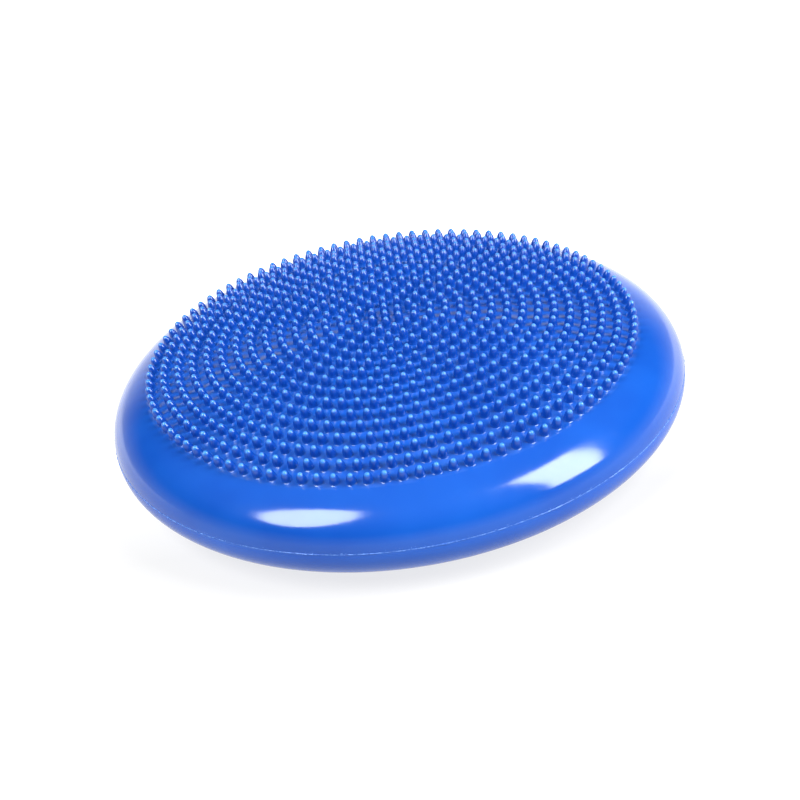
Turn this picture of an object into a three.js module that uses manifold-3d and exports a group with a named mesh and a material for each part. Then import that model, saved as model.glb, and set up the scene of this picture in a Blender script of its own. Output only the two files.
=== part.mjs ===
// An inflatable wobble cushion for balance training, 330 mm across.
// A soft blue plastic air cushion: a flat underside, a bulging side wall with the parting
// line of its mould, a crowned top face covered in rings of soft spikes, and an air valve
// with a push-in plug at the back. Millimetres, +Z up, the floor at z = 0.

import * as THREE from "three";
import { mergeVertices } from "three/addons/utils/BufferGeometryUtils.js";
import Module from "manifold-3d";

const wasm = await Module();
wasm.setup();

// Driving dimensions of the air cushion
const discRadius = 165;
const equatorHeight = 26;
const contactRadius = 116;
const faceRadius = 142;
const faceEdgeHeight = 51.5;
const crownRise = 17.5;
const crownPower = 2.6;
const wall = 3;
const jointGap = 0.3;

// The shoulder is a cubic curve, which leaves the face at the crown's own slope and ends
// upright at the equator. The lower side is a superellipse, where 2 is a plain ellipse.
const shoulderStartPull = 12;
const shoulderEndPull = 15;
const lowerFullness = 2.05;

// Massage spikes: rings of spikes about one pitch apart, around one spike at the centre
const spikeRings = 16;
const ringPitch = 8.6;
const spikePitch = 8.6;
const spikeHalfBase = 2.4;
const spikeHeight = 6.3;

// Parting line between the two halves of the mould
const seamHeight = 28.5;
const beadHalfHeight = 0.6;
const beadProud = 0.1;
const beadDepth = 2.6;

// Air valve, on the equator at the back (+Y)
const valveHeight = 27;
const seatRadius = 5.4;
const seatHeadDepth = 4;
const seatTubeRadius = 4.2;
const seatLength = 15;
const recessRadius = 4.1;
const recessDepth = 1.7;
const boreRadius = 2.4;
const plugHeadRadius = 3.8;
const plugHeadDepth = 1.4;
const plugStemRadius = 2.1;
const plugTipRadius = 1.5;
const plugTipLength = 2;
const plugLength = 13;

// How finely the round pieces are cut into flats
const aroundSegments = 64;
const valveSegments = 24;
const sideSteps = 7;
const innerSteps = 4;

const deg = Math.PI / 180;
const frontAngle = -90 * deg;
const blue = 0x1b62d8;

function material(color, roughness) {
  return new THREE.MeshStandardMaterial({ color, roughness, metalness: 0 });
}

// ---------------------------------------------------------------- side profile

// The shoulder's curve of (radius, height), from the face edge down to the equator
function shoulderCurve(inset) {
  const edgeSlope = crownSlope(faceRadius);
  const shrink = (discRadius - inset - faceRadius) / (discRadius - faceRadius);
  const start = new THREE.Vector2(faceRadius + jointGap / 2, faceEdgeHeight - inset);
  const end = new THREE.Vector2(discRadius - inset, equatorHeight);
  const startPull = new THREE.Vector2(Math.cos(edgeSlope), -Math.sin(edgeSlope));
  const endPull = new THREE.Vector2(0, shoulderEndPull * shrink);
  return new THREE.CubicBezierCurve(
    start,
    start.clone().addScaledVector(startPull, shoulderStartPull * shrink),
    end.clone().add(endPull),
    end,
  );
}

// How far along the shoulder's curve, from 0 to 1, it passes a height
function shoulderShareAt(curve, height) {
  const halvings = 30;
  let above = 0;
  let below = 1;
  for (let halving = 0; halving < halvings; halving += 1) {
    const middle = (above + below) / 2;
    if (curve.getPoint(middle).y > height) {
      above = middle;
    } else {
      below = middle;
    }
  }
  return above;
}

// One point of the lower side, from the contact face (turn 0) to the equator (90 degrees)
function lowerPoint(turn, inset) {
  const power = 2 / lowerFullness;
  const reach = discRadius - inset - contactRadius;
  const drop = equatorHeight - inset;
  const radius = contactRadius + reach * Math.sin(turn) ** power;
  return new THREE.Vector2(radius, equatorHeight - drop * Math.cos(turn) ** power);
}

function sweepPoints(pointAt, from, to, steps) {
  const points = [];
  for (let step = 0; step <= steps; step += 1) {
    points.push(pointAt(from + (to - from) * (step / steps)));
  }
  return points;
}

// A profile of (radius, height) points turned about the vertical axis
function turned(points, segments) {
  const lathe = new THREE.LatheGeometry(points, segments);
  lathe.rotateX(Math.PI / 2);
  return withoutFlatTriangles(lathe);
}

// Keeps the triangles that have three different corners, which drops those at the axis
function withoutFlatTriangles(geometry) {
  geometry.deleteAttribute("normal");
  geometry.deleteAttribute("uv");
  const merged = mergeVertices(geometry, 1e-4);
  const corners = merged.index.array;
  const kept = [];
  for (let first = 0; first < corners.length; first += 3) {
    const [a, b, c] = corners.slice(first, first + 3);
    if (a !== b && b !== c && c !== a) {
      kept.push(a, b, c);
    }
  }
  merged.setIndex(kept);
  return merged;
}

// ---------------------------------------------------------------- cutting

function solidOf(geometry) {
  const merged = withoutFlatTriangles(geometry.clone());
  const mesh = new wasm.Mesh({
    numProp: 3,
    vertProperties: new Float32Array(merged.attributes.position.array),
    triVerts: new Uint32Array(merged.index.array),
  });
  mesh.merge();
  return new wasm.Manifold(mesh);
}

function geometryOf(solid) {
  const mesh = solid.getMesh();
  const geometry = new THREE.BufferGeometry();
  geometry.setAttribute("position", new THREE.BufferAttribute(mesh.vertProperties, mesh.numProp));
  geometry.setIndex(new THREE.BufferAttribute(mesh.triVerts, 1));
  return geometry;
}

// The round hole for the valve, through the back of the side wall
function valveHole() {
  const holeRadius = seatRadius + jointGap;
  const holeLength = 4 * seatLength;
  const hole = new THREE.CylinderGeometry(holeRadius, holeRadius, holeLength, valveSegments);
  hole.translate(0, discRadius, valveHeight);
  return hole;
}

function withValveHole(geometry) {
  return geometryOf(solidOf(geometry).subtract(solidOf(valveHole())));
}

// ---------------------------------------------------------------- skins

function lowerSkin() {
  const topHeight = seamHeight - beadHalfHeight - jointGap;
  const equator = 90 * deg;
  const outerShoulder = shoulderCurve(0);
  const innerShoulder = shoulderCurve(wall);
  const outer = [
    new THREE.Vector2(0, 0),
    ...sweepPoints((turn) => lowerPoint(turn, 0), 0, equator, sideSteps),
    outerShoulder.getPoint(shoulderShareAt(outerShoulder, topHeight)),
  ];
  const inner = [
    innerShoulder.getPoint(shoulderShareAt(innerShoulder, topHeight)),
    ...sweepPoints((turn) => lowerPoint(turn, wall), equator, 0, innerSteps),
    new THREE.Vector2(0, wall),
  ];
  return withValveHole(turned([...outer, ...inner], aroundSegments));
}

function sideWall() {
  const bottomHeight = seamHeight + beadHalfHeight + jointGap;
  const outerCurve = shoulderCurve(0);
  const innerCurve = shoulderCurve(wall);
  const outerEnd = shoulderShareAt(outerCurve, bottomHeight);
  const innerEnd = shoulderShareAt(innerCurve, bottomHeight);
  const outer = sweepPoints((share) => outerCurve.getPoint(share), outerEnd, 0, sideSteps);
  const inner = sweepPoints((share) => innerCurve.getPoint(share), 0, innerEnd, innerSteps);
  return withValveHole(turned([...outer, ...inner, outer[0]], aroundSegments));
}

function seamBead() {
  const outside = discRadius + beadProud;
  const inside = discRadius - beadDepth;
  const bottom = seamHeight - beadHalfHeight;
  const top = seamHeight + beadHalfHeight;
  const points = [
    new THREE.Vector2(inside, bottom),
    new THREE.Vector2(outside - beadHalfHeight, bottom),
    new THREE.Vector2(outside, seamHeight),
    new THREE.Vector2(outside - beadHalfHeight, top),
    new THREE.Vector2(inside, top),
    new THREE.Vector2(inside, bottom),
  ];
  return withValveHole(turned(points, aroundSegments));
}

// ---------------------------------------------------------------- spiked top

function crownHeight(radius) {
  const share = radius / faceRadius;
  return faceEdgeHeight + crownRise * (1 - share ** crownPower);
}

// A growing list of corners and triangles, with the rings of corners that join them
class Surface {
  constructor() {
    this.corners = [];
    this.triangles = [];
  }

  corner(radius, angle, height) {
    this.corners.push(radius * Math.cos(angle), radius * Math.sin(angle), height);
    return { index: this.corners.length / 3 - 1, angle };
  }

  triangle(a, b, c) {
    this.triangles.push(a.index, b.index, c.index);
  }

  evenRing(count, radius, height) {
    const ring = [];
    for (let step = 0; step < count; step += 1) {
      ring.push(this.corner(radius, frontAngle + (step / count) * 360 * deg, height));
    }
    return ring;
  }

  // Fills the band between an inner and an outer ring, facing up where turn is 1
  band(inner, outer, turn = 1) {
    const full = 360 * deg;
    const angleAt = (ring, step) => (
      ring[step % ring.length].angle + full * Math.floor(step / ring.length));
    let inStep = 0;
    let outStep = 0;
    while (inStep < inner.length || outStep < outer.length) {
      const moveOuter = inStep >= inner.length
        || (outStep < outer.length && angleAt(outer, outStep + 1) <= angleAt(inner, inStep + 1));
      const a = inner[inStep % inner.length];
      const b = outer[outStep % outer.length];
      const ring = moveOuter ? outer : inner;
      const next = ring[((moveOuter ? outStep : inStep) + 1) % ring.length];
      if (turn > 0) {
        this.triangle(a, b, next);
      } else {
        this.triangle(a, next, b);
      }
      if (moveOuter) {
        outStep += 1;
      } else {
        inStep += 1;
      }
    }
  }

  fan(centre, ring, turn = 1) {
    for (let step = 0; step < ring.length; step += 1) {
      const here = ring[step];
      const next = ring[(step + 1) % ring.length];
      if (turn > 0) {
        this.triangle(centre, here, next);
      } else {
        this.triangle(centre, next, here);
      }
    }
  }

  geometry() {
    const geometry = new THREE.BufferGeometry();
    geometry.setAttribute("position", new THREE.Float32BufferAttribute(this.corners, 3));
    geometry.setIndex(this.triangles);
    return geometry;
  }
}

// How steeply the crown falls away at a radius, as an angle
function crownSlope(radius) {
  const share = radius / faceRadius;
  return Math.atan((crownRise * crownPower * share ** (crownPower - 1)) / faceRadius);
}

// The tip of a spike, which stands square on the skin
function spikeTip(surface, radius, angle) {
  const lean = crownSlope(radius);
  const tipRadius = radius + spikeHeight * Math.sin(lean);
  return surface.corner(tipRadius, angle, crownHeight(radius) + spikeHeight * Math.cos(lean));
}

// One ring of four-sided spikes with the flat skin between them; returns its two edges.
// Odd rings have a spike at the very front, and even rings have a gap there.
function spikeRing(surface, number) {
  const radius = number * ringPitch;
  const count = Math.round((360 * deg * radius) / spikePitch);
  const step = (360 * deg) / count;
  const halfAngle = spikeHalfBase / radius;
  const stagger = number % 2 === 0 ? step / 2 : 0;
  const innerEdge = [];
  const outerEdge = [];
  const tips = [];
  for (let spike = 0; spike < count; spike += 1) {
    const angle = frontAngle + stagger + spike * step;
    for (const side of [-halfAngle, halfAngle]) {
      const innerRadius = radius - spikeHalfBase;
      const outerRadius = radius + spikeHalfBase;
      innerEdge.push(surface.corner(innerRadius, angle + side, crownHeight(innerRadius)));
      outerEdge.push(surface.corner(outerRadius, angle + side, crownHeight(outerRadius)));
    }
    tips.push(spikeTip(surface, radius, angle));
  }
  for (let spike = 0; spike < count; spike += 1) {
    const left = 2 * spike;
    const right = left + 1;
    const next = (left + 2) % innerEdge.length;
    surface.triangle(innerEdge[left], outerEdge[left], tips[spike]);
    surface.triangle(outerEdge[left], outerEdge[right], tips[spike]);
    surface.triangle(outerEdge[right], innerEdge[right], tips[spike]);
    surface.triangle(innerEdge[right], innerEdge[left], tips[spike]);
    surface.triangle(innerEdge[right], outerEdge[right], outerEdge[next]);
    surface.triangle(innerEdge[right], outerEdge[next], innerEdge[next]);
  }
  return { innerEdge, outerEdge };
}

function spikedTop() {
  const surface = new Surface();
  const centreSides = 6;
  const centreTip = spikeTip(surface, 0, 0);
  let edge = surface.evenRing(centreSides, spikeHalfBase, crownHeight(spikeHalfBase));
  surface.fan(centreTip, edge);
  for (let number = 1; number <= spikeRings; number += 1) {
    const { innerEdge, outerEdge } = spikeRing(surface, number);
    surface.band(edge, innerEdge);
    edge = outerEdge;
  }
  const rimRadius = faceRadius - jointGap / 2;
  const rim = surface.evenRing(aroundSegments, rimRadius, faceEdgeHeight);
  surface.band(edge, rim);

  let under = surface.evenRing(aroundSegments, rimRadius, faceEdgeHeight - wall);
  surface.band(under, rim, -1);
  const underRings = 4;
  for (let ring = underRings; ring >= 1; ring -= 1) {
    const radius = (rimRadius * ring) / (underRings + 1);
    const next = surface.evenRing(aroundSegments / 2, radius, crownHeight(radius) - wall);
    surface.band(next, under, -1);
    under = next;
  }
  surface.fan(surface.corner(0, 0, crownHeight(0) - wall), under, -1);
  return surface.geometry();
}

// ---------------------------------------------------------------- valve

// Points of (radius, distance in from the outer face) turned about the valve's own axis
function valveTurned(points) {
  const profile = points.map(([radius, inwards]) => new THREE.Vector2(radius, -inwards));
  const geometry = turned(profile.reverse(), valveSegments);
  geometry.rotateX(-Math.PI / 2);
  return geometry;
}

function valveSeat() {
  return valveTurned([
    [recessRadius, 0],
    [seatRadius, 0],
    [seatRadius, seatHeadDepth],
    [seatTubeRadius, seatHeadDepth],
    [seatTubeRadius, seatLength],
    [boreRadius, seatLength],
    [boreRadius, recessDepth],
    [recessRadius, recessDepth],
    [recessRadius, 0],
  ]);
}

function valvePlug() {
  const edgeRound = 0.5;
  return valveTurned([
    [0, 0],
    [plugHeadRadius - edgeRound, 0],
    [plugHeadRadius, edgeRound],
    [plugHeadRadius, plugHeadDepth],
    [plugStemRadius, plugHeadDepth],
    [plugStemRadius, plugLength - plugTipLength],
    [plugTipRadius, plugLength],
    [0, plugLength],
  ]);
}

// ---------------------------------------------------------------- assembly

const group = new THREE.Group();

function add(name, geometry, color, roughness) {
  const mesh = new THREE.Mesh(geometry, material(color, roughness));
  mesh.name = name;
  group.add(mesh);
  return mesh;
}

add("lower_skin", lowerSkin(), blue, 0.3);
add("seam_bead", seamBead(), 0x4f86e0, 0.35);
add("side_wall", sideWall(), blue, 0.25);
add("spiked_top", spikedTop(), 0x1a5ad0, 0.25);
for (const [name, geometry] of [["valve_seat", valveSeat()], ["valve_plug", valvePlug()]]) {
  add(name, geometry, 0x1650b8, 0.35).position.set(0, discRadius, valveHeight);
}

export default group;
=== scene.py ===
# %% [markdown]
# # An air-filled wobble cushion
# The real cushion is one soft plastic moulding, blown up through a small valve: a spiked top
# face, a smooth glossy shoulder, a thin parting line where the mould closed, and an underside
# with low grip nubs. This lesson builds each of them round a fixed frame of engineering parts,
# so every size comes from that frame and nothing has to be fitted by eye.

# %% Load the frame
import math

import bpy
import numpy as np
from mathutils import Matrix, Quaternion, Vector, geometry, noise


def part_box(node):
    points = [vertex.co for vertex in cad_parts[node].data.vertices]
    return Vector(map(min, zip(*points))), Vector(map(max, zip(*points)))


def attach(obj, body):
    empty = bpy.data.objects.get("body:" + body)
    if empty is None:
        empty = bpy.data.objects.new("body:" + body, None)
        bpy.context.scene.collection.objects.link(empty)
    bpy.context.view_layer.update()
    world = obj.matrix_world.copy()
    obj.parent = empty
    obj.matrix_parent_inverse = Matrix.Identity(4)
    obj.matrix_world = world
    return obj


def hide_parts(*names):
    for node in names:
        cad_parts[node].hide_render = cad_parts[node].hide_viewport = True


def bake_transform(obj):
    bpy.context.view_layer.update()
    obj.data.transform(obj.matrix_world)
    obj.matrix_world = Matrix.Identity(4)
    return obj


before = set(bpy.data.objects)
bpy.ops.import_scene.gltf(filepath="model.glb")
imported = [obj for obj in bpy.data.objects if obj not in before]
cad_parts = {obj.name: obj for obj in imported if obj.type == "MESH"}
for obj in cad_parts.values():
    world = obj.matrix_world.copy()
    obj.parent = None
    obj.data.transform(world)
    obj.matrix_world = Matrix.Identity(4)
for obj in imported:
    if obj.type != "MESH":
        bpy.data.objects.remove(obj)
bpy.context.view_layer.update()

print("nodes in the frame:", sorted(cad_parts))

# %% [markdown]
# ## Sizes
# A turned object needs few sizes. The frame gives the radius, the height of the parting line,
# the edge of the spiked face and the tips of the spikes. The rest are a maker's numbers: wall
# thickness, spacing of the spikes, and how full the curves of the side are. Blender works in
# metres, so one helper turns millimetres into metres.

# %% Sizes
def mm(length):
    return length / 1000


_, lower_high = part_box("lower_skin")
_, side_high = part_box("side_wall")
bead_low, bead_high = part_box("seam_bead")
_, top_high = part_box("spiked_top")
seat_low, seat_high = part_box("valve_seat")
plug_low, plug_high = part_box("valve_plug")

joint_gap = mm(0.3)
disc_radius = lower_high.x
face_radius = top_high.x + joint_gap / 2
face_edge_height = side_high.z
seam_height = (bead_low.z + bead_high.z) / 2
equator_height = mm(26)
contact_radius = mm(116)
wall = mm(3)
spike_height = mm(6.3)
crown_rise = top_high.z - spike_height - face_edge_height
crown_power = 2.6
print(f"radius {disc_radius:.4f} m, face radius {face_radius:.4f} m, crown {crown_rise:.4f} m")

# %% [markdown]
# ## The outline of the cushion
# The cushion is a solid of revolution, so its shape is one line in the plane of radius and
# height. Air pressure gives the top face a crown that is flat in the middle and falls away at
# the edge, which a power a little under three does well. The shoulder is a cubic Bezier curve:
# it leaves the face at the crown's own slope, so no crease shows, and it is upright at the
# equator. The lower side is a superellipse that meets the floor flat.

# %% Outline curves
def crown_height(radius):
    return face_edge_height + crown_rise * (1 - (radius / face_radius) ** crown_power)


def crown_slope(radius):
    steepness = crown_power * (radius / face_radius) ** (crown_power - 1)
    return math.atan(crown_rise / face_radius * steepness)


def shoulder_point(share, start_pull=mm(12), end_pull=mm(15)):
    slope = crown_slope(face_radius)
    start = Vector((face_radius, face_edge_height))
    end = Vector((disc_radius, equator_height))
    first = start + start_pull * Vector((math.cos(slope), -math.sin(slope)))
    second = end + Vector((0, end_pull))
    rest = 1 - share
    near = rest**3 * start + 3 * rest**2 * share * first
    return near + 3 * rest * share**2 * second + share**3 * end


def shoulder_share_at(height, halvings=30):
    above, below = 0.0, 1.0
    for _ in range(halvings):
        middle = (above + below) / 2
        if shoulder_point(middle).y > height:
            above = middle
        else:
            below = middle
    return above


def lower_point(turn, fullness=2.05):
    power = 2 / fullness
    reach = disc_radius - contact_radius
    radius = contact_radius + reach * math.sin(turn) ** power
    return Vector((radius, equator_height * (1 - max(0, math.cos(turn)) ** power)))


def inside_of(outline, thickness_at):
    """The same line moved in from the surface, which lies on its left, by its own thickness."""
    moved = []
    for number, point in enumerate(outline):
        before = outline[max(0, number - 1)]
        after = outline[min(len(outline) - 1, number + 1)]
        along = (after - before).normalized()
        inwards = Vector((-along.y, along.x))
        moved.append(point + inwards * thickness_at(number / (len(outline) - 1)))
    return moved


seam_share = shoulder_share_at(seam_height)
print(f"the shoulder passes the parting line at {seam_share:.3f} of its length")

# %% [markdown]
# ## Turned meshes
# Blender's Screw modifier can turn an outline, but a short function of our own gives full
# control of where each ring of corners lies, which matters later: pieces that meet must have
# their rings in the same places. Every skin here is a closed shell with an outside, an inside
# and an edge, because a real skin has a thickness and because a closed mesh can be cut
# cleanly.

# %% Mesh helpers
AROUND = 288


def ring_of(radius, height, count=AROUND):
    """Corners of a level ring, or its one corner where it shrinks to a point on the axis."""
    if radius == 0:
        return [(0, 0, height)]
    angles = [2 * math.pi * step / count for step in range(count)]
    return [(radius * math.cos(angle), radius * math.sin(angle), height) for angle in angles]


def turned(outline, closed, count=AROUND):
    """Corners and faces of an outline of (radius, height) points turned about the z axis."""
    corners, faces, rings = [], [], []
    for point in outline:
        first = len(corners)
        corners.extend(ring_of(*point, count))
        rings.append(list(range(first, len(corners))))
    pairs = list(zip(rings, rings[1:]))
    if closed:
        pairs.append((rings[-1], rings[0]))
    for ring, following in pairs:
        for step in range(count):
            after = (step + 1) % count
            if len(following) == 1:
                faces.append((ring[step], ring[after], following[0]))
            elif len(ring) == 1:
                faces.append((ring[0], following[after], following[step]))
            else:
                faces.append((ring[step], ring[after], following[after], following[step]))
    return corners, faces


def piece_from(name, corners, faces, sharp_angle=35):
    mesh = bpy.data.meshes.new(name)
    mesh.from_pydata([tuple(corner) for corner in corners], [], faces)
    mesh.update()
    piece = bpy.data.objects.new(name, mesh)
    bpy.context.scene.collection.objects.link(piece)
    smooth(piece, sharp_angle)
    return piece


def smooth(piece, sharp_angle=35):
    piece.data.shade_smooth()
    piece.data.set_sharp_from_angle(angle=math.radians(sharp_angle))


def report(piece):
    low = [min(corner.co[axis] for corner in piece.data.vertices) for axis in range(3)]
    high = [max(corner.co[axis] for corner in piece.data.vertices) for axis in range(3)]
    size = " x ".join(f"{1000 * (top - bottom):.1f}" for bottom, top in zip(low, high))
    print(f"{piece.name}: {len(piece.data.vertices)} corners, {size} mm")


# %% [markdown]
# ## Studs on a skin
# The top face carries over eight hundred spikes and the underside a few hundred low nubs, all
# moulded in one with the skin. Scattering separate cones would leave a hard line round each
# foot and hidden faces under it. Here every stud is a stack of rings that starts on the skin
# with a small fillet, and the skin between the feet is filled by a constrained Delaunay
# triangulation, so face and studs are one continuous surface.

# %% A disc of skin with studs in it
def fillet_and_tip(foot, waist, fillet, height, swell, fillet_steps, body_steps, crowding=1.6):
    """A stud's outline, from its foot on the skin to its tip, as (radius, height) points.

    A swell of 2 gives half an ellipse, and more gives a blunter stud. The crowding puts more
    of the rings near the tip, where the outline turns fastest.
    """
    outline = []
    for step in range(fillet_steps):
        turn = math.radians(90) * step / (fillet_steps - 1)
        outline.append((foot - (foot - waist) * math.sin(turn), fillet * (1 - math.cos(turn))))
    for step in range(1, body_steps):
        share = 1 - (1 - step / body_steps) ** crowding
        radius = waist * math.sqrt(1 - share**swell)
        outline.append((radius, fillet + (height - fillet) * share))
    return outline


def studded_disc(studs, outline, tip_height, height_at, edge_radius, facing, sides=12, settling=0.35):
    """Corners and faces of a round skin. A stud is its place, its axis and its own scale.

    The foot of a stud follows the slope of the skin. From there to the settling share of its
    height, its rings turn square to its own axis.
    """
    corners, faces, foot_rings, owners = [], [], [], []
    for x, y, axis, scale in studs:
        along = Vector(axis)
        outwards = Vector((x, y, 0)).normalized() if x or y else Vector((1, 0, 0))
        first_side = (outwards - along * outwards.dot(along)).normalized()
        second_side = along.cross(first_side)
        rings = []
        middle = Vector((x, y, height_at(math.hypot(x, y))))
        for radius, height in outline:
            settled = min(1, height / (settling * tip_height))
            ring = []
            for side in range(sides):
                turn = 2 * math.pi * side / sides
                spread = first_side * math.cos(turn) + second_side * math.sin(turn)
                leaning = middle + along * height * scale + spread * radius
                foot_x, foot_y = x + spread.x * radius, y + spread.y * radius
                foot_z = height_at(math.hypot(foot_x, foot_y))
                risen = Vector((along.x * height, along.y * height, along.z * height * scale))
                standing = Vector((foot_x, foot_y, foot_z)) + risen
                ring.append(len(corners))
                corners.append(standing.lerp(leaning, settled))
            rings.append(ring)
        tip = len(corners)
        corners.append(middle + along * tip_height * scale)
        foot_rings.append(rings[0])
        for ring, following in zip(rings, rings[1:]):
            for side in range(sides):
                after = (side + 1) % sides
                faces.append((ring[side], ring[after], following[after], following[side]))
        for side in range(sides):
            faces.append((rings[-1][side], rings[-1][(side + 1) % sides], tip))
    edge_ring = list(range(len(corners), len(corners) + AROUND))
    corners.extend(Vector(point) for point in ring_of(edge_radius, height_at(edge_radius)))

    flat, constraints, source = [], [], []
    for number, ring in enumerate([*foot_rings, edge_ring]):
        first = len(flat)
        for corner in ring:
            flat.append(Vector((corners[corner][0], corners[corner][1])))
            source.append(corner)
            owners.append(number)
        constraints.extend((first + side, first + (side + 1) % len(ring)) for side in range(len(ring)))
    _, _, triangles, origins, _, _ = geometry.delaunay_2d_cdt(flat, constraints, [], 0, 1e-9)
    for triangle in triangles:
        inputs = [origins[corner][0] for corner in triangle]
        owner = {owners[corner] for corner in inputs}
        inside_a_foot = len(owner) == 1 and owner != {len(foot_rings)}
        if not inside_a_foot:
            skin = [source[corner] for corner in inputs]
            faces.append(tuple(skin) if facing > 0 else tuple(reversed(skin)))
    return corners, faces, edge_ring


def ringed_places(rings, ring_pitch, stud_pitch):
    """Places in rings round a centre: odd rings start at the front, even ones half a step on."""
    places = [(0.0, 0.0)]
    for number in range(1, rings + 1):
        radius = number * ring_pitch
        count = round(2 * math.pi * radius / stud_pitch)
        for stud in range(count):
            turn = 2 * math.pi * (stud + (0.5 if number % 2 == 0 else 0)) / count - math.pi / 2
            places.append((radius * math.cos(turn), radius * math.sin(turn)))
    return places


# %% [markdown]
# ## The spiked top face
# Each spike is a soft bullet with a rounded tip. It stands square on the skin, because the
# face is moulded almost flat and the air pressure then crowns it, spikes and all. A little
# seeded variation in lean and height keeps the field from looking stamped. A fillet at the
# foot catches the light as it does on any moulded spike.

# %% Build the top face
spike_rings = 16
ring_pitch = mm(8.6)
spike_pitch = mm(8.6)
spike_outline = fillet_and_tip(
    foot=mm(3.2), waist=mm(2.65), fillet=mm(0.7), height=spike_height, swell=1.95,
    fillet_steps=3, body_steps=7)
lean_spread = 0.018
height_spread = 0.008
variation = np.random.default_rng(7)


def spike_at(x, y):
    radius = math.hypot(x, y)
    lean = crown_slope(radius)
    outwards = Vector((x, y, 0)).normalized() if radius > 0 else Vector((0, 0, 0))
    sideways = Vector((*variation.normal(0, lean_spread, 2), 0))
    axis = (outwards * math.sin(lean) + Vector((0, 0, math.cos(lean))) + sideways).normalized()
    return x, y, axis, 1 + variation.normal(0, height_spread)


spikes = [spike_at(x, y) for x, y in ringed_places(spike_rings, ring_pitch, spike_pitch)]
corners, faces, rim = studded_disc(
    spikes, spike_outline, spike_height, crown_height, face_radius, facing=1)

rim_thickness = mm(1.2)
under = rim
for radius, thickness in [(face_radius, rim_thickness), (mm(125), wall), (mm(70), wall), (mm(20), wall)]:
    ring = list(range(len(corners), len(corners) + AROUND))
    corners.extend(Vector(point) for point in ring_of(radius, crown_height(radius) - thickness))
    for step in range(AROUND):
        after = (step + 1) % AROUND
        faces.append((under[step], ring[step], ring[after], under[after]))
    under = ring
centre = len(corners)
corners.append(Vector((0, 0, crown_height(0) - wall)))
faces.extend((under[step], centre, under[(step + 1) % AROUND]) for step in range(AROUND))
spiked_face = piece_from("spiked_face", corners, faces)
report(spiked_face)
print(f"{len(spikes)} spikes")

# %% [markdown]
# ## The shoulder
# This is the big glossy surface that the eye goes to first, so its outline has many points and
# nothing disturbs its reflections. The skin thins towards the edge of the face, where it joins
# the spiked moulding.

# %% Build the shoulder
shoulder_steps = 36


def skin_thickness(share):
    return rim_thickness + (wall - rim_thickness) * math.sin(math.pi * share)


outer_shoulder = [
    shoulder_point(seam_share * (1 - step / shoulder_steps)) for step in range(shoulder_steps + 1)]
inner_shoulder = list(reversed(inside_of(outer_shoulder, skin_thickness)))
inner_shoulder[0].x = face_radius
every_third = inner_shoulder[::3]
shoulder = piece_from("shoulder", *turned([*outer_shoulder, *every_third], closed=True))
report(shoulder)

# %% [markdown]
# ## The lower skin and its grip nubs
# Below the parting line the skin curves in to the floor. The underside has a shallow recess
# with low round nubs in it, whose tops lie level with the foot ring, so the cushion stands on
# both. The same stud function makes them, facing down.

# %% Build the lower skin
recess_depth = mm(0.9)
recess_radius = mm(108)
nub_outline = fillet_and_tip(
    foot=mm(3.4), waist=mm(2.7), fillet=mm(0.35), height=recess_depth, swell=3,
    fillet_steps=3, body_steps=4)
nub_rings = 9
nub_ring_pitch = mm(11)
nub_pitch = mm(11.4)
nubs = [(x, y, (0, 0, -1), 1) for x, y in ringed_places(nub_rings, nub_ring_pitch, nub_pitch)]
corners, faces, _ = studded_disc(
    nubs, nub_outline, recess_depth, lambda radius: recess_depth, recess_radius, facing=-1)

step_width = mm(3)
step_ease = [
    Vector((recess_radius + step_width * share, recess_depth * (0.5 + 0.5 * math.cos(math.pi * share))))
    for share in (0, 0.25, 0.5, 0.75, 1)]
side_steps = 40
lower_side = [lower_point(math.radians(90) * step / side_steps) for step in range(side_steps + 1)]
above_equator = [shoulder_point(1 - (1 - seam_share) * share) for share in (0.25, 0.5, 0.75, 1)]
outer_lower = [*step_ease, *lower_side, *above_equator]
inner_lower = list(reversed(inside_of(lower_side + above_equator, skin_thickness)))
inner_floor = [Vector((mm(60), wall)), Vector((0, wall))]
inner_lower = [*inner_lower[::4], *inner_floor]
turned_corners, turned_faces = turned([*outer_lower, *inner_lower], closed=False)
first = len(corners)
corners.extend(turned_corners)
faces.extend(tuple(first + corner for corner in face) for face in turned_faces)
lower_skin = piece_from("lower_side", corners, faces)
report(lower_skin)
print(f"{len(nubs)} grip nubs")

# %% [markdown]
# ## Welding and cutting
# The nubbed disc and the turned side share a ring of corners, which are merged into one mesh.
# The valve needs a round hole through the side wall. A Boolean modifier cuts it, and the result
# is copied back into the mesh, so no modifier is left to slow things down.

# %% Weld, and cut the valve's hole
import bmesh

valve_height = (seat_low.z + seat_high.z) / 2
valve_radius = (seat_high.x - seat_low.x) / 2
press_fit = mm(0.2)
cutter_length = mm(40)


def weld(piece, nearness=mm(0.001)):
    work = bmesh.new()
    work.from_mesh(piece.data)
    bmesh.ops.remove_doubles(work, verts=work.verts, dist=nearness)
    work.to_mesh(piece.data)
    work.free()
    smooth(piece)


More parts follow.
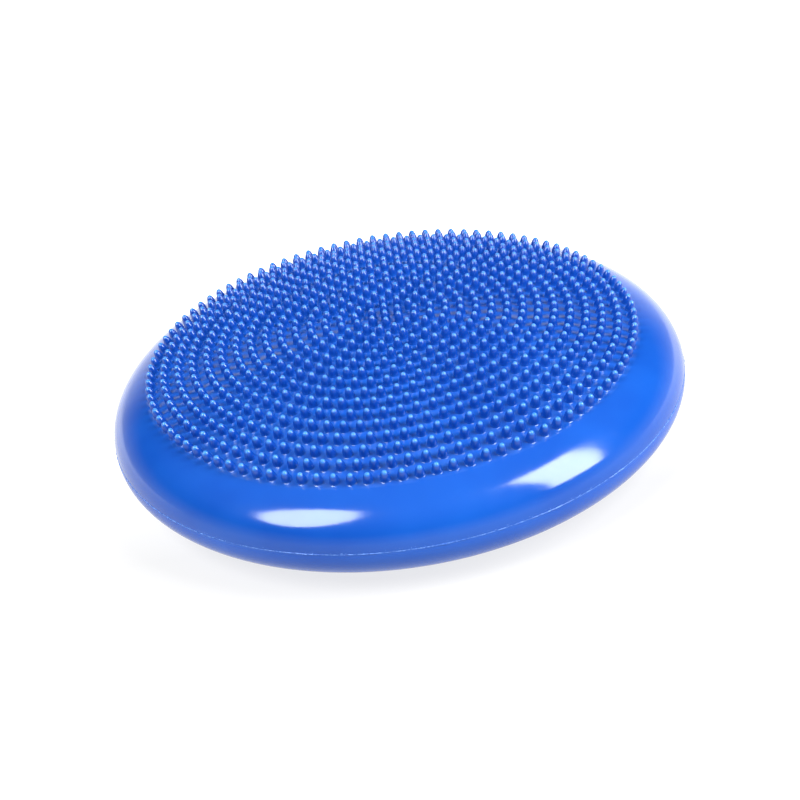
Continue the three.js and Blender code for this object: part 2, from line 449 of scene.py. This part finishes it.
def cut_hole(piece, radius, sides=64):
    work = bmesh.new()
    bmesh.ops.create_cone(
        work, cap_ends=True, segments=sides, radius1=radius, radius2=radius, depth=cutter_length)
    placed = Matrix.Translation((0, disc_radius, valve_height)) @ Matrix.Rotation(math.pi / 2, 4, "X")
    bmesh.ops.transform(work, matrix=placed, verts=work.verts)
    mesh = bpy.data.meshes.new("hole")
    work.to_mesh(mesh)
    work.free()
    cutter = bpy.data.objects.new("hole", mesh)
    bpy.context.scene.collection.objects.link(cutter)
    cut = piece.modifiers.new("valve hole", "BOOLEAN")
    cut.operation = "DIFFERENCE"
    cut.solver = "EXACT"
    cut.object = cutter
    shown = piece.evaluated_get(bpy.context.evaluated_depsgraph_get())
    piece.data = bpy.data.meshes.new_from_object(shown)
    piece.modifiers.clear()
    bpy.data.objects.remove(cutter)
    smooth(piece)


weld(lower_skin)
for skin in (lower_skin, shoulder):
    cut_hole(skin, valve_radius - press_fit)
    report(skin)

# %% [markdown]
# ## The parting line
# Where the two halves of the mould met, a whisker of plastic squeezed out and was trimmed. It
# is a thin, broken, slightly paler line round the side. A smooth ring would look machined, so
# its height follows a noise that fades to nothing in places. It stops at the valve.

# %% Build the trimmed flash
flash_steps = 1440
flash_half_height = mm(0.28)
flash_root = mm(0.6)
flash_gap = math.asin((valve_radius + mm(0.6)) / disc_radius)


def flash_proud(turn):
    place = Vector((math.cos(turn), math.sin(turn), 0))
    broad = noise.noise(place * 9)
    fine = noise.noise(place * 70 + Vector((5, 0, 0)))
    speck = max(0, noise.noise(place * 190 + Vector((0, 9, 0))) - 0.25)
    return mm(max(0.02, 0.08 + 0.3 * broad + 0.26 * fine + 0.6 * speck))


def flash_section(turn):
    surface = shoulder_point(seam_share).x
    wander = mm(0.12) * noise.noise(Vector((math.cos(turn), math.sin(turn), 2)) * 6)
    proud = flash_proud(turn)
    section = [
        (surface - flash_root, -flash_half_height), (surface, -flash_half_height),
        (surface + proud, -0.3 * flash_half_height), (surface + proud, 0.3 * flash_half_height),
        (surface, flash_half_height), (surface - flash_root, flash_half_height)]
    level = seam_height + wander
    return [(radius * math.cos(turn), radius * math.sin(turn), level + rise) for radius, rise in section]


corners, faces = [], []
start_turn = math.pi / 2 + flash_gap
sweep = 2 * math.pi - 2 * flash_gap
for step in range(flash_steps + 1):
    corners.extend(flash_section(start_turn + sweep * step / flash_steps))
section_size = len(flash_section(0))
for step in range(flash_steps):
    here, there = step * section_size, (step + 1) * section_size
    for side in range(section_size):
        after = (side + 1) % section_size
        faces.append((here + side, there + side, there + after, here + after))
last = flash_steps * section_size
faces.append(tuple(range(section_size)))
faces.append(tuple(reversed(range(last, last + section_size))))
flash = piece_from("parting_flash", corners, faces, sharp_angle=60)
report(flash)

# %% [markdown]
# ## The air valve
# The valve is a soft seat moulded into the wall, with a plug pushed into it. Both are turned
# about the valve's own axis. The seat's collar flares into the skin with a small fillet, and
# its recess lets the plug's head sit flush. The plug has a domed head and two ribs on its stem
# that hold it in the bore, which show when it is pulled out.

# %% Build the valve
valve_face = seat_high.y
bore_radius = mm(2.4)
recess = mm(4.1)
seat_depth = valve_face - seat_low.y
plug_length = plug_high.y - plug_low.y
head_radius = (plug_high.x - plug_low.x) / 2


def rounded(centre_radius, centre_depth, size, from_turn, to_turn, steps=5):
    """Points of a rounded corner, as (radius, depth in from the outer face)."""
    points = []
    for step in range(steps + 1):
        turn = math.radians(from_turn + (to_turn - from_turn) * step / steps)
        points.append((centre_radius + size * math.cos(turn), centre_depth - size * math.sin(turn)))
    return points


def valve_turned(name, outline, closed):
    corners, faces = turned([(radius, -depth) for radius, depth in outline], closed, count=72)
    placed = Matrix.Translation((0, valve_face, valve_height)) @ Matrix.Rotation(-math.pi / 2, 4, "X")
    return piece_from(name, [placed @ Vector(corner) for corner in corners], faces, sharp_angle=50)


collar_reach = mm(0.9)
seat_outline = [
    (valve_radius - mm(1.2), seat_depth), (valve_radius - mm(1.2), mm(4)),
    (valve_radius + collar_reach, mm(3.2)),
    *[(valve_radius + collar_reach * (1 - math.sin(math.radians(turn))),
       mm(2.6) - mm(1.9) * (1 - math.cos(math.radians(turn)))) for turn in (0, 20, 40, 60, 80)],
    *rounded(valve_radius - mm(0.45), mm(0.45), mm(0.45), 0, 90),
    *rounded(recess + mm(0.25), mm(0.25), mm(0.25), 90, 180),
    (recess, mm(1.7)), (bore_radius + mm(0.3), mm(1.7)), (bore_radius, mm(2)),
    (bore_radius, seat_depth)]
valve_seat = valve_turned("valve_collar", seat_outline, closed=True)
report(valve_seat)

stem = mm(2.1)
rib = mm(0.18)
plug_outline = [
    (0, plug_length), (mm(1.0), plug_length), *rounded(mm(1.0), plug_length - mm(0.5), mm(0.5), -80, 0),
    (stem - mm(0.1), mm(10.5)), (stem, mm(9.4)), (stem + rib, mm(9.1)), (stem + rib, mm(8.8)),
    (stem, mm(8.4)), (stem, mm(6.2)), (stem + rib, mm(5.9)), (stem + rib, mm(5.6)), (stem, mm(5.2)),
    (stem, mm(1.4)), (head_radius - mm(0.2), mm(1.4)),
    *rounded(head_radius - mm(0.4), mm(0.75), mm(0.4), 0, 70),
    (mm(2.6), mm(0.12)), (mm(2.2), mm(0.1)), *rounded(mm(2.0), mm(0.35), mm(0.2), 60, 150, steps=3),
    (mm(1.4), mm(0.5)), (mm(0.7), mm(0.55)), (0, mm(0.55))]
valve_plug = valve_turned("valve_stopper", plug_outline, closed=False)
report(valve_plug)

# %% [markdown]
# ## A small language for shaders
# A material is a graph of nodes, and a page of links is hard to read. Here a small class wraps
# an output socket, so that sums and products on it add the Math nodes themselves, and a finish
# class makes any other node from its type, its settings and its sockets. Only values that vary
# over the surface travel through nodes; every constant sits on the shader's own socket.

# %% Shader helpers
class Varying:
    """A number, colour or vector that changes over the surface."""

    def __init__(self, finish, output):
        self.finish = finish
        self.output = output

    def maths(self, operation, first, second):
        return self.finish.node("ShaderNodeMath", {"operation": operation}, {0: first, 1: second})

    def __add__(self, other):
        return self.maths("ADD", self, other)

    def __sub__(self, other):
        return self.maths("SUBTRACT", self, other)

    def __rsub__(self, other):
        return self.maths("SUBTRACT", other, self)

    def __mul__(self, other):
        return self.maths("MULTIPLY", self, other)

    def __truediv__(self, other):
        return self.maths("DIVIDE", self, other)

    def __pow__(self, other):
        return self.maths("POWER", self, other)

    __radd__ = __add__
    __rmul__ = __mul__


class Finish:
    """A material with one Principled shader, and short ways to feed it."""

    def __init__(self, name, **constants):
        self.material = bpy.data.materials.new(name)
        self.material.use_nodes = True
        self.tree = self.material.node_tree
        self.shader = self.tree.nodes["Principled BSDF"]
        for socket, value in constants.items():
            self.shader.inputs[socket.replace("_", " ")].default_value = value

    def node(self, kind, settings=None, sockets=None, output=0):
        made = self.tree.nodes.new(kind)
        for name, value in (settings or {}).items():
            setattr(made, name, value)
        for key, value in (sockets or {}).items():
            if isinstance(value, Varying):
                self.tree.links.new(value.output, made.inputs[key])
            else:
                made.inputs[key].default_value = value
        return Varying(self, made.outputs[output])

    def feed(self, **varying):
        for socket, value in varying.items():
            self.tree.links.new(value.output, self.shader.inputs[socket.replace("_", " ")])

    def place(self):
        return self.node("ShaderNodeTexCoord", output="Object")

    def part(self, vector, axis):
        return self.node("ShaderNodeSeparateXYZ", {}, {0: vector}, output=axis)

    def cloud(self, place, feature, detail=2, roughness=0.5):
        """Soft noise from 0 to 1, whose lumps are about one feature size across."""
        return self.node("ShaderNodeTexNoise", {}, {
            "Vector": place, "Scale": 1 / feature, "Detail": detail, "Roughness": roughness})

    def between(self, value, low, high):
        """0 below low, 1 above high, and an even slope between them."""
        return self.node("ShaderNodeMapRange", {"clamp": True}, {
            "Value": value, "From Min": low, "From Max": high, "To Min": 0.0, "To Max": 1.0})

    def mixed(self, share, first, second):
        return self.node(
            "ShaderNodeMix", {"data_type": "RGBA"}, {0: share, 6: first, 7: second}, output=2)

    def bumped(self, height, strength, distance, under=None):
        sockets = {"Height": height, "Strength": strength, "Distance": distance}
        if under is not None:
            sockets["Normal"] = under
        return self.node("ShaderNodeBump", {}, sockets)


# %% [markdown]
# ## The soft blue plastic
# The skin is a glossy, slightly cloudy vinyl. Its colour is almost even, with faint clouds where
# the wall is thinner. Under a lamp the reflection has a slightly fuzzy edge, which comes from a
# fine grain, and it is gently wavy, which comes from the moulded skin not being quite flat.
# The top face also carries a little dust between its spikes. The spike bodies are painted
# deeper in colour than the skin, which is painted shade, and the tips are painted paler, which
# is a painted highlight. These masks all come from the height above the crown. The mesh's own
# formula works that out in the shader too, because it takes any value that knows how to add,
# multiply and take powers.

# %% Skin finishes
deep_blue = (0.005, 0.064, 0.37, 1)
cloud_blue = (0.007, 0.080, 0.42, 1)
# Painted shade colour: the spike bodies are painted this deeper blue.
body_shade_blue = (0.002, 0.045, 0.34, 1)
# Painted highlight colour: the spike tips are painted this paler blue.
tip_highlight_blue = (0.06, 0.35, 0.88, 1)
dusty_blue = (0.045, 0.14, 0.46, 1)
flash_blue = (0.15, 0.33, 0.80, 1)


def scaled(colour, factor):
    return tuple(factor * part for part in colour[:3]) + (1,)


def skin_finish(name, gloss, ior=1.54, bounce_light_paleness=1.0):
    """What all three skins share, and the values that each finish builds on."""
    finish = Finish(
        name, IOR=ior, Specular_Tint=(0.86, 0.96, 1, 1), Subsurface_Weight=0.06, Subsurface_Scale=0.004)
    finish.shader.inputs["Subsurface Radius"].default_value = (0.2, 0.5, 1.0)
    place = finish.place()
    wall_clouds = finish.cloud(place, mm(45), detail=2)
    waves = finish.cloud(place, mm(16), detail=1)
    peel = finish.cloud(place, mm(2.2), detail=2)
    grain = finish.cloud(place, mm(0.35), detail=1)
    wiped = finish.cloud(place, mm(28), detail=3, roughness=0.65)
    rough = gloss + 0.05 * grain + 0.06 * finish.between(wiped, 0.5, 0.75)
    wavy = finish.bumped(waves, 0.10, mm(0.6))
    peeled = finish.bumped(peel, 0.05, mm(0.12), under=wavy)
    grained = finish.bumped(grain, 0.06, mm(0.03), under=peeled)
    clouded = finish.between(wall_clouds, 0.35, 0.7)
    # A paleness above 1 paints the skin's colour lighter, which is painted light.
    colour = finish.mixed(clouded, scaled(deep_blue, bounce_light_paleness), scaled(cloud_blue, bounce_light_paleness))
    return finish, place, colour, rough, grained


def seam_belt(finish, height):
    """1 on the parting line, and fading to 0 just above and below it."""
    from_seam = finish.node("ShaderNodeMath", {"operation": "ABSOLUTE"}, {0: height - seam_height})
    return 1 - finish.between(from_seam, mm(0.3), mm(1.8))


def side_finish():
    finish, place, colour, rough, normal = skin_finish("glossy blue side skin", gloss=0.10)
    near_seam = seam_belt(finish, finish.part(place, "Z"))
    specks = finish.between(finish.cloud(place, mm(1.1), detail=2), 0.62, 0.70) * near_seam
    finish.feed(
        Base_Color=finish.mixed(specks * 0.7, colour, flash_blue),
        Roughness=rough + 0.12 * near_seam, Normal=normal)
    return finish.material


def face_finish():
    finish, place, colour, rough, normal = skin_finish("glossy blue spiked skin", gloss=0.14, ior=1.62)
    x, y, z = (finish.part(place, axis) for axis in "XYZ")
    radius = (x * x + y * y) ** 0.5
    above_skin = z - crown_height(radius)
    # The spike bodies are painted deeper, painted shade against the paler skin between them.
    shaded_bodies = finish.between(above_skin, mm(0.8), mm(2.2))
    # The top of each spike is painted paler, a painted highlight; the same mask makes the tips a little
    # rougher.
    highlight_tips = finish.between(above_skin, mm(5.0), mm(6.2))
    valleys = 1 - finish.between(above_skin, mm(0.1), mm(1.2))
    dust = valleys * finish.between(finish.cloud(place, mm(9), detail=4), 0.45, 0.75)
    dusted = finish.mixed(dust * 0.25, colour, dusty_blue)
    body_shaded = finish.mixed(shaded_bodies * 0.7, dusted, body_shade_blue)
    finish.feed(
        Base_Color=finish.mixed(highlight_tips * 0.5, body_shaded, tip_highlight_blue),
        Roughness=rough + 0.10 * dust + 0.03 * highlight_tips, Normal=normal)
    return finish.material


def underside_finish():
    # The lower skin's colour is painted 15 percent paler: painted light standing in for light bounced up
    # from the floor.
    finish, place, colour, rough, normal = skin_finish(
        "satin blue lower skin", gloss=0.2, ior=1.5, bounce_light_paleness=1.15)
    height = finish.part(place, "Z")
    foot = 1 - finish.between(height, mm(0.1), mm(4))
    rubbed = foot * finish.between(finish.cloud(place, mm(5), detail=5, roughness=0.7), 0.45, 0.7)
    near_seam = seam_belt(finish, height)
    finish.feed(
        Base_Color=finish.mixed(rubbed * 0.3, colour, dusty_blue),
        Roughness=rough + 0.25 * rubbed + 0.12 * near_seam, Normal=normal)
    return finish.material


def flash_finish():
    finish = Finish("pale trimmed flash", IOR=1.5)
    place = finish.place()
    ragged = finish.cloud(place, mm(1.4), detail=4, roughness=0.7)
    colour = finish.mixed(finish.between(ragged, 0.4, 0.65), cloud_blue, flash_blue)
    finish.feed(
        Base_Color=colour, Roughness=0.3 + 0.25 * ragged,
        Normal=finish.bumped(ragged, 0.5, mm(0.15)))
    return finish.material


def valve_finish(name, tone):
    finish = Finish(name, IOR=1.48)
    place = finish.place()
    grain = finish.cloud(place, mm(0.3), detail=2)
    smear = finish.cloud(place, mm(3.5), detail=3)
    finish.feed(
        Base_Color=finish.mixed(finish.between(smear, 0.35, 0.7), scaled(tone, 0.8), tone),
        Roughness=0.28 + 0.12 * grain + 0.08 * smear, Normal=finish.bumped(grain, 0.15, mm(0.04)))
    return finish.material


def dress(piece, material):
    piece.data.materials.clear()
    piece.data.materials.append(material)


dress(shoulder, side_finish())
dress(spiked_face, face_finish())
dress(lower_skin, underside_finish())
dress(flash, flash_finish())
dress(valve_seat, valve_finish("soft blue valve seat", (0.006, 0.075, 0.52, 1)))
dress(valve_plug, valve_finish("soft blue valve plug", (0.005, 0.06, 0.42, 1)))
print("finishes:", [material.name for material in bpy.data.materials])

# %% [markdown]
# ## Which part moves with what
# A cushion has no hinge: it tips because the air shifts and the side wall gives. In the frame
# the lower skin stays on the floor, the waist of the cushion tips one way on it, and the face
# tips the other way on the waist. Here the spiked face rides on the top body, the flash and the
# valve seat on the rocker body at the waist, and the plug on its own body. The two side skins
# keep their place, and the limits of a belt round the valve are worked out but not used.

# %% Join the pieces to the frame's bodies
belt_margin = mm(0.3)
belt_low = seat_low.z - belt_margin
belt_high = seat_high.z + belt_margin


def stands_for(node):
    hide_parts(node)


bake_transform(lower_skin)
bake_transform(shoulder)
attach(spiked_face, "top")
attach(flash, "rocker")
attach(valve_seat, "rocker")
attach(valve_plug, "plug")
stands_for("lower_skin")
stands_for("side_wall")
stands_for("spiked_top")
stands_for("seam_bead")
stands_for("valve_seat")
stands_for("valve_plug")

# %% [markdown]
# ## Floor, backdrop and light
# Glossy plastic is mostly a picture of the room. Two large soft lamps, one on each side and
# above, draw the two long highlights on the shoulder. The floor is a white table that glows of
# its own, painted light which keeps the shadow light and draws a pale rim low on the sides, and
# its back part glows more, like a sweep that is lit from behind. The room is dark, to keep the
# colour deep, apart from a low glow round the horizon, a brighter one straight behind, and a dim
# ceiling.

# %% Floor
floor_mesh = bpy.data.meshes.new("floor")
half_floor = 6
floor_corners = [
    (side * half_floor, end * half_floor, 0) for side, end in ((-1, -1), (1, -1), (1, 1), (-1, 1))]
floor_mesh.from_pydata(floor_corners, [], [(0, 1, 2, 3)])
floor = bpy.data.objects.new("floor", floor_mesh)
bpy.context.scene.collection.objects.link(floor)
floor_finish = Finish("white studio table", Roughness=0.9, Emission_Strength=1)
floor_place = floor_finish.place()
paper = floor_finish.cloud(floor_place, 0.4, detail=1)
stronger_glow_behind = floor_finish.between(floor_finish.part(floor_place, "Y"), -0.1, 0.2)
white = (1, 1, 1, 1)
# The floor's emission is a glow of its own, painted light: weaker in front, stronger at the back.
floor_finish.feed(
    Base_Color=floor_finish.mixed(paper, scaled(white, 0.11), scaled(white, 0.13)),
    Emission_Color=floor_finish.mixed(stronger_glow_behind, scaled(white, 0.78), scaled(white, 1.5)))
dress(floor, floor_finish.material)
print(f"floor {2 * half_floor} m across")

# %% Lamps
def soft_lamp(name, shape, azimuth, elevation, spin, width, height, radiance, distance=1.5):
    """A flat light that faces the cushion, at an azimuth counted from +X."""
    lamp = bpy.data.lights.new(name, "AREA")
    lamp.shape = shape
    lamp.size, lamp.size_y = width, height
    area = width * height * (math.pi / 4 if shape == "ELLIPSE" else 1)
    lamp.energy = radiance * math.pi * area
    holder = bpy.data.objects.new(name, lamp)
    turn, rise = math.radians(azimuth), math.radians(elevation)
    away = Vector((math.cos(turn) * math.cos(rise), math.sin(turn) * math.cos(rise), math.sin(rise)))
    holder.location = away * distance + Vector((0, 0, equator_height))
    facing = away.to_track_quat("Z", "Y") @ Quaternion((0, 0, 1), math.radians(spin))
    holder.rotation_euler = facing.to_euler()
    bpy.context.scene.collection.objects.link(holder)
    return holder


left_lamp = soft_lamp(
    "left lamp", "ELLIPSE", azimuth=-144.5, elevation=52.5, spin=0, width=0.68, height=0.96,
    radiance=15.5)
right_lamp = soft_lamp(
    "right lamp", "RECTANGLE", azimuth=-23.5, elevation=40.5, spin=-16, width=0.58, height=1.18,
    radiance=18.5)
for lamp in (left_lamp, right_lamp):
    print(f"{lamp.name}: {lamp.data.energy:.1f} W")

# %% Room
world = bpy.data.worlds.new("studio")
bpy.context.scene.world = world
world.use_nodes = True


class Room(Finish):
    """The world's own nodes, made by the same short ways as a finish."""

    def __init__(self, made):
        self.tree = made.node_tree
        self.shader = self.tree.nodes["Background"]
        self.shader.inputs["Color"].default_value = (1, 1, 1, 1)


room = Room(world)
outwards = room.node("ShaderNodeTexCoord", output="Generated")
backwards, upwards = room.part(outwards, "Y"), room.part(outwards, "Z")
horizon = 1 - room.between(upwards, -0.02, 0.38)
glow_behind = room.between(backwards, 0.80, 0.95) * (1 - room.between(upwards, 0.5, 0.9))
ceiling = room.between(upwards, 0.5, 0.95)
room.feed(Strength=0.02 + 0.9 * horizon + 0.8 * glow_behind + 0.25 * ceiling)
bpy.context.scene.view_settings.view_transform = "Standard"

# %% [markdown]
# ## Camera
# The camera looks down at about thirty degrees, close enough for real perspective, and it is
# rolled a little, which gives the cushion its lively tilt in the frame.

# %% Camera
camera_rise = math.radians(29.85)
camera_roll = math.radians(9.29)
camera_distance = 0.8706
camera_target = Vector((0, 0, mm(30)))
back = Vector((0, -math.cos(camera_rise), math.sin(camera_rise)))
upright = Vector((0, math.sin(camera_rise), math.cos(camera_rise)))
across = Vector((1, 0, 0))
camera_right = across * math.cos(camera_roll) - upright * math.sin(camera_roll)
camera_up = across * math.sin(camera_roll) + upright * math.cos(camera_roll)
lens = bpy.data.cameras.new("camera")
lens.sensor_width = 36
lens.lens = 67.5
lens.shift_x = 0.0056
lens.shift_y = -0.0271
lens.clip_start = 0.01
camera = bpy.data.objects.new("camera", lens)
bpy.context.scene.collection.objects.link(camera)
turned_axes = Matrix((camera_right, camera_up, back)).transposed().to_4x4()
camera.matrix_world = Matrix.Translation(back * camera_distance + camera_target) @ turned_axes
bpy.context.scene.camera = camera
print(f"camera {camera_distance:.2f} m away, {lens.lens} mm lens")
